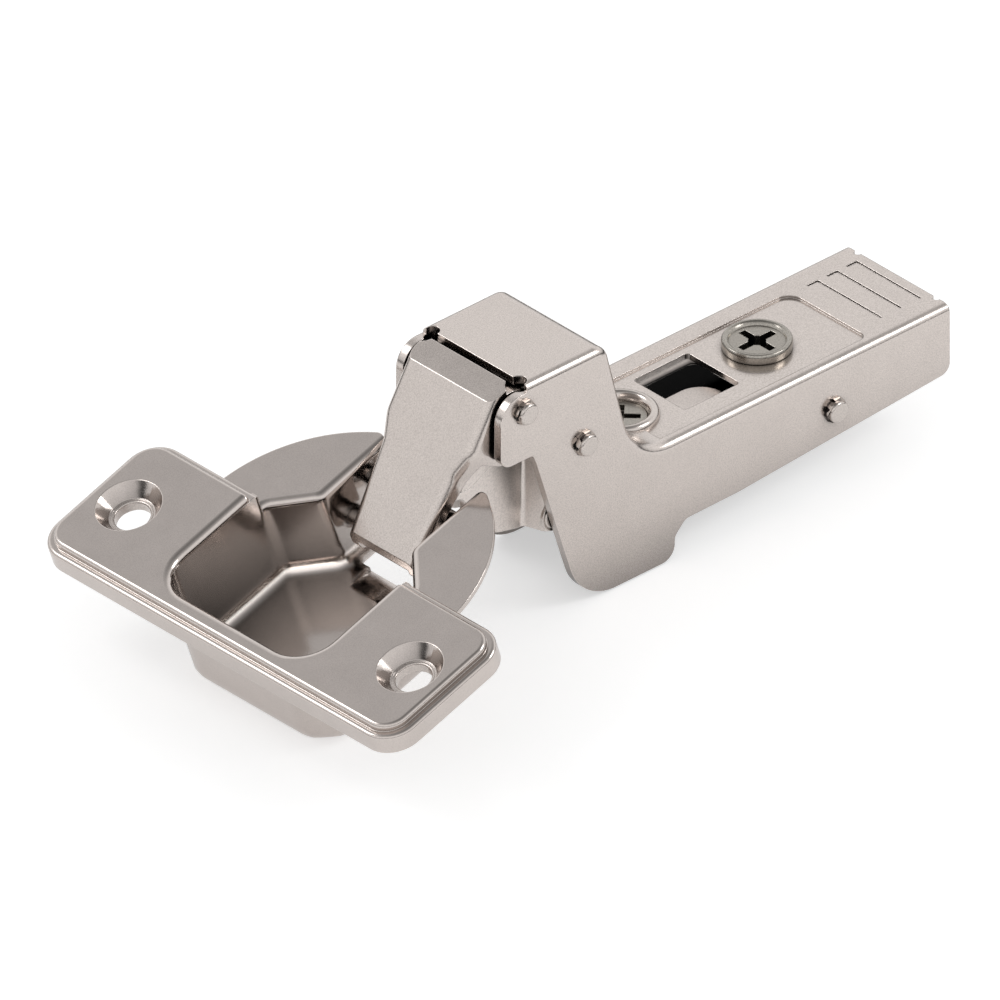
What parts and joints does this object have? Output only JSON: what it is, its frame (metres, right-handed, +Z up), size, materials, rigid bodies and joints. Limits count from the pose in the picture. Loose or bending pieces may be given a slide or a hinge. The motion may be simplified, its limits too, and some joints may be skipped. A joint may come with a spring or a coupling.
{
  "type": "concealed cup hinge",
  "caption": "Concealed cabinet door hinge, fully open: pressed cup with a screw plate and flange, two links, and a folded arm with adjusting screws that clips on a mounting plate.",
  "frame": {"origin": "middle of the line between the two cup screw holes, on top of the screw plate", "axes": "+X along the arm to the rear, +Z up from the arm's web, +Y across; the cup is tilted about Y because the hinge is open"},
  "size_m": [0.1017, 0.0572, 0.0316],
  "materials": {
    "plated_sheet": "satin nickel plate on pressed sheet steel, fine grain, bright rolled edges",
    "plated_pin": "nickel plated pins, bright peened ends",
    "turned_steel": "nickel plated turned steel",
    "spring_wire": "oiled spring steel wire"
  },
  "bodies": {
    "arm": {"arm": "plated_sheet", "outer_link_axle": "plated_pin", "inner_link_axle": "plated_pin", "rear_rivet": "plated_pin", "side_screw_collar": "turned_steel", "closing_spring": "spring_wire"},
    "outer_link": {"outer_link": "plated_sheet"},
    "cup": {"cup": "plated_sheet", "outer_cup_pin": "plated_pin", "inner_cup_pin": "plated_pin"},
    "inner_link": {"inner_link": "plated_sheet", "roller_pin": "plated_pin", "spring_leg_near": "spring_wire", "spring_leg_far": "spring_wire"},
    "spring_roller": {"spring_roller": "turned_steel"},
    "carriage": {"carriage": "plated_sheet", "latch_axle": "plated_pin", "latch_spring": "spring_wire"},
    "depth_cam_screw": {"depth_cam_screw": "turned_steel"},
    "side_screw": {"side_screw": "turned_steel"},
    "latch_lever": {"latch_lever": "plated_sheet"}
  },
  "joints": [
    {"name": "outer_link_fold", "type": "hinge", "parent": "arm", "child": "outer_link", "pos_m": [0.0301, 0, 0.0134], "axis": [0, 1, 0], "range_deg": [-21, 0]},
    {"name": "cup_fold", "type": "hinge", "parent": "outer_link", "child": "cup", "pos_m": [0.01918, 0, -0.00234], "axis": [0, 1, 0], "range_deg": [0, 129.8]},
    {"name": "inner_link_swing", "type": "hinge", "parent": "arm", "child": "inner_link", "pos_m": [0.039, 0, 0.0056], "axis": [0, 1, 0], "range_deg": [-41, 0]},
    {"name": "roller_spin", "type": "hinge", "parent": "inner_link", "child": "spring_roller", "pos_m": [0.036, 0, -0.003], "axis": [0, 1, 0], "continuous": true},
    {"name": "carriage_slide", "type": "slide", "parent": "arm", "child": "carriage", "axis": [1, 0, 0], "range_m": [-0.00159, 0.00159]},
    {"name": "depth_cam_turn", "type": "hinge", "parent": "arm", "child": "depth_cam_screw", "pos_m": [0.0724, 0, 0], "axis": [0, 0, 1], "range_deg": [-60, 60]},
    {"name": "side_screw_turn", "type": "hinge", "parent": "arm", "child": "side_screw", "pos_m": [0.052, 0, 0], "axis": [0, 0, 1], "continuous": true},
    {"name": "latch_swing", "type": "hinge", "parent": "carriage", "child": "latch_lever", "pos_m": [0.0835, 0, -0.0065], "axis": [0, -1, 0], "range_deg": [0, 12], "stiffness_Nm_per_rad": 0.05}
  ],
  "couplings": [
    {"joint": "outer_link_fold", "follows": "cup_fold", "ratio": -0.1617},
    {"joint": "inner_link_swing", "follows": "cup_fold", "ratio": -0.3158},
    {"joint": "depth_cam_turn", "follows": "carriage_slide", "rad_per_m": -657.89}
  ]
}
